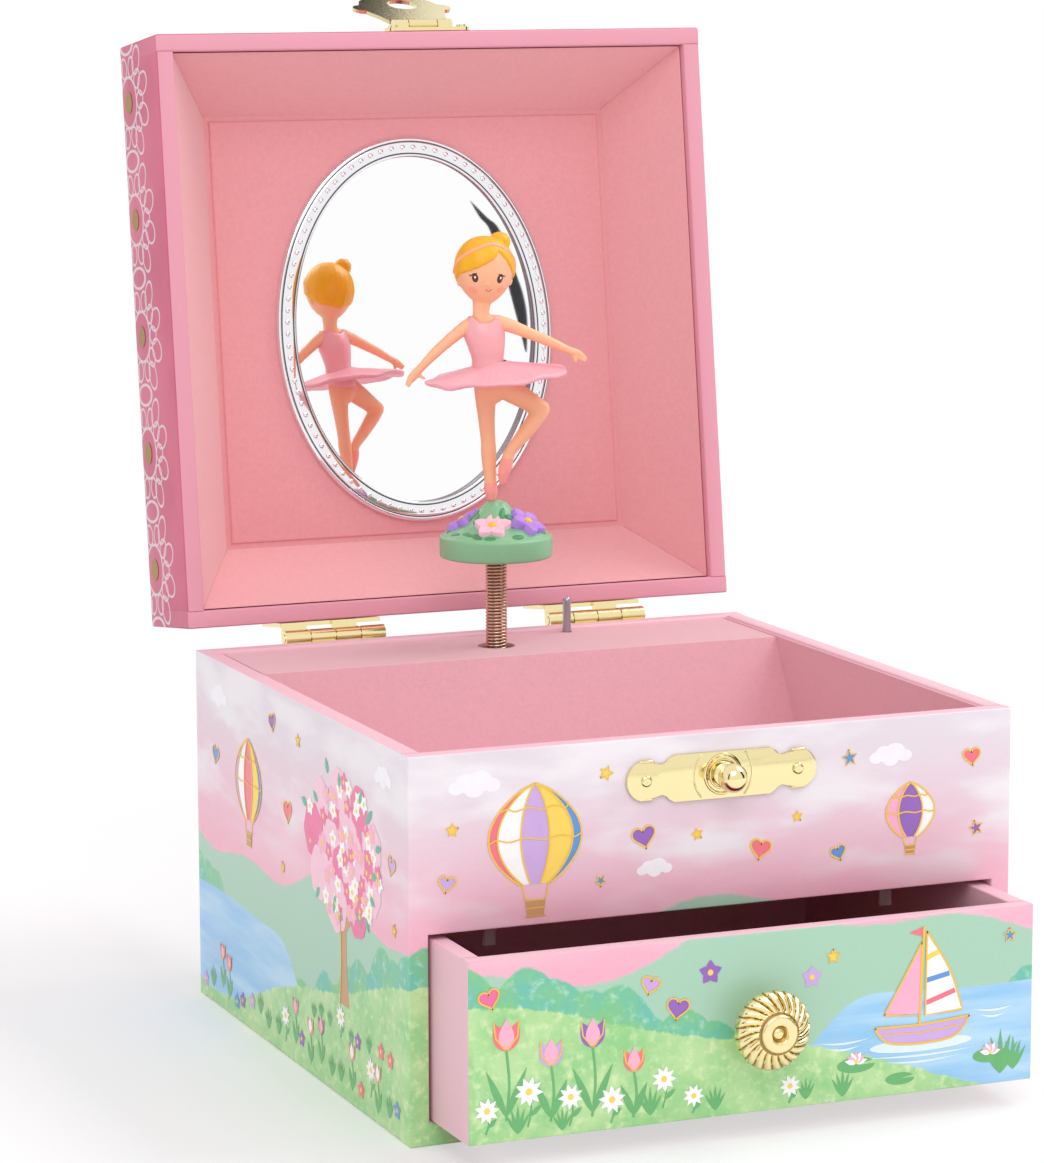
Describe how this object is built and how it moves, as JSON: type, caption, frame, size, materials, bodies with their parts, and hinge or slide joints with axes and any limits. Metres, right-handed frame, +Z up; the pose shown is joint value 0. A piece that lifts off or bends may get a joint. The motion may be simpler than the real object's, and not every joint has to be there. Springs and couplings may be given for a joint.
{
  "type": "music jewellery box",
  "caption": "Square wind up musical jewellery box with a mirrored hinged lid, a drawer, a lined tray and a spring mounted ballerina that turns.",
  "frame": {"origin": "centre of the base's underside, which is centred on the base's width and depth", "axes": "+Z up, the front with the drawer faces -Y, +X to the right seen from the front; drawn with the lid open, the drawer 16.3 mm out and the hasp folded back"},
  "size_m": [0.114, 0.1815, 0.1889],
  "materials": {
    "printed_board": "fibreboard wrapped in printed satin paper",
    "lid_board": "fibreboard wrapped in deep pink printed satin paper",
    "pink_board": "fibreboard wrapped in plain pale pink paper",
    "raw_board": "plain fibreboard",
    "velour": "salmon pink flock lining on card",
    "dark_paper": "dark maroon flock paper",
    "plated_brass": "bright pale gold plating",
    "mirror_glass": "clear silvered mirror",
    "chrome_trim": "bright metallised moulding with a beaded band",
    "steel": "plain bright steel",
    "movement_brass": "plain brass",
    "copper_wire": "copper coloured spring wire",
    "white_plastic": "plain white",
    "clear_plastic": "clear moulded plastic",
    "key_metal": "nickel plated",
    "mint_plastic": "painted mint green",
    "flower_plastic": "painted pink and lilac with yellow centres",
    "skin_plastic": "peach",
    "dress_plastic": "satin pink",
    "hair_plastic": "yellow blonde"
  },
  "bodies": {
    "base": {"base_floor": "pink_board", "front_wall": "printed_board", "back_wall": "printed_board", "left_wall": "printed_board", "right_wall": "printed_board", "tray_floor": "raw_board", "rear_partition": "raw_board", "drawer_stops": "clear_plastic", "rear_shelf": "raw_board", "tray_lining": "velour", "latch_plate": "plated_brass", "latch_stud": "plated_brass", "base_nails": "plated_brass", "hinge_base_leaves": "plated_brass", "hinge_pins": "plated_brass", "movement_frame": "movement_brass", "comb": "steel", "movement_screws": "steel", "governor_bracket": "movement_brass", "click_spring": "steel"},
    "lid": {"lid_top_panel": "lid_board", "lid_front_wall": "lid_board", "lid_back_wall": "lid_board", "lid_left_wall": "lid_board", "lid_right_wall": "lid_board", "lid_bevel_liner": "velour", "lid_back_panel": "velour", "mirror_glass": "mirror_glass", "mirror_frame": "chrome_trim", "hinge_lid_leaves": "plated_brass", "lid_nails": "plated_brass", "hasp_leaf": "plated_brass", "hasp_pin": "plated_brass"},
    "hasp": {"hasp_tab": "plated_brass"},
    "drawer": {"drawer_front": "printed_board", "drawer_left_side": "pink_board", "drawer_right_side": "pink_board", "drawer_back": "pink_board", "drawer_floor": "pink_board", "drawer_lining": "dark_paper", "drawer_knob": "plated_brass", "knob_screw": "steel"},
    "dancer_tilt": {"ballerina_spring": "copper_wire"},
    "dancer": {"flower_base": "mint_plastic", "base_flowers": "flower_plastic", "dancer_figure": "skin_plastic", "dancer_dress": "dress_plastic", "dancer_hair": "hair_plastic"},
    "cylinder": {"music_cylinder": "movement_brass", "cylinder_gear": "movement_brass", "cylinder_arbor": "steel", "spring_socket": "white_plastic"},
    "barrel": {"mainspring_barrel": "movement_brass", "mainspring": "steel"},
    "winding": {"winding_arbor": "steel", "winding_key": "key_metal"},
    "idler": {"idler_gear": "movement_brass"},
    "governor": {"governor_worm": "steel", "governor_fan": "white_plastic"},
    "stop": {"stop_plunger": "steel"}
  },
  "joints": [
    {"name": "lid_hinge", "type": "hinge", "parent": "base", "child": "lid", "pos_m": [0, 0.06, 0.0673], "axis": [1, 0, 0], "range_deg": [0, 97.6]},
    {"name": "hasp_hinge", "type": "hinge", "parent": "lid", "child": "hasp", "pos_m": [-0.0003, 0.08154, 0.18413], "axis": [1, 0, 0], "range_deg": [0, 158]},
    {"name": "drawer_slide", "type": "slide", "parent": "base", "child": "drawer", "axis": [0, -1, 0], "range_m": [-0.0163, 0.0543]},
    {"name": "figure_tilt", "type": "hinge", "parent": "base", "child": "dancer_tilt", "pos_m": [-0.0009, 0.04, 0.062], "axis": [1, 0, 0], "range_deg": [0, 90.1], "stiffness_Nm_per_rad": 0.01, "deforming": ["ballerina_spring"]},
    {"name": "figure_spin", "type": "hinge", "parent": "dancer_tilt", "child": "dancer", "pos_m": [-0.0009, 0.042, 0.0837], "axis": [0, 0, 1], "continuous": true},
    {"name": "cylinder_spin", "type": "hinge", "parent": "base", "child": "cylinder", "pos_m": [-0.0009, 0.042, 0.04], "axis": [0, 0, 1], "continuous": true},
    {"name": "barrel_spin", "type": "hinge", "parent": "base", "child": "barrel", "pos_m": [-0.0009, 0.046, 0.0175], "axis": [0, 1, 0], "continuous": true},
    {"name": "key_turn", "type": "hinge", "parent": "base", "child": "winding", "pos_m": [-0.0009, 0.057, 0.0175], "axis": [0, 1, 0], "continuous": true},
    {"name": "idler_spin", "type": "hinge", "parent": "base", "child": "idler", "pos_m": [0.0101, 0.042, 0.0538], "axis": [0, 0, 1], "continuous": true},
    {"name": "governor_spin", "type": "hinge", "parent": "base", "child": "governor", "pos_m": [0.0178, 0.042, 0.0538], "axis": [0, 1, 0], "continuous": true},
    {"name": "stop_slide", "type": "slide", "parent": "base", "child": "stop", "axis": [0, 0, -1], "range_m": [0, 0.0024]}
  ],
  "couplings": [
    {"joint": "figure_tilt", "follows": "lid_hinge", "ratio": 0.92213},
    {"joint": "stop_slide", "follows": "lid_hinge", "m_per_rad": 0.0013502},
    {"joint": "figure_spin", "follows": "cylinder_spin", "ratio": 1},
    {"joint": "barrel_spin", "follows": "cylinder_spin", "ratio": -0.28571},
    {"joint": "idler_spin", "follows": "cylinder_spin", "ratio": -3},
    {"joint": "governor_spin", "follows": "cylinder_spin", "ratio": 54}
  ]
}
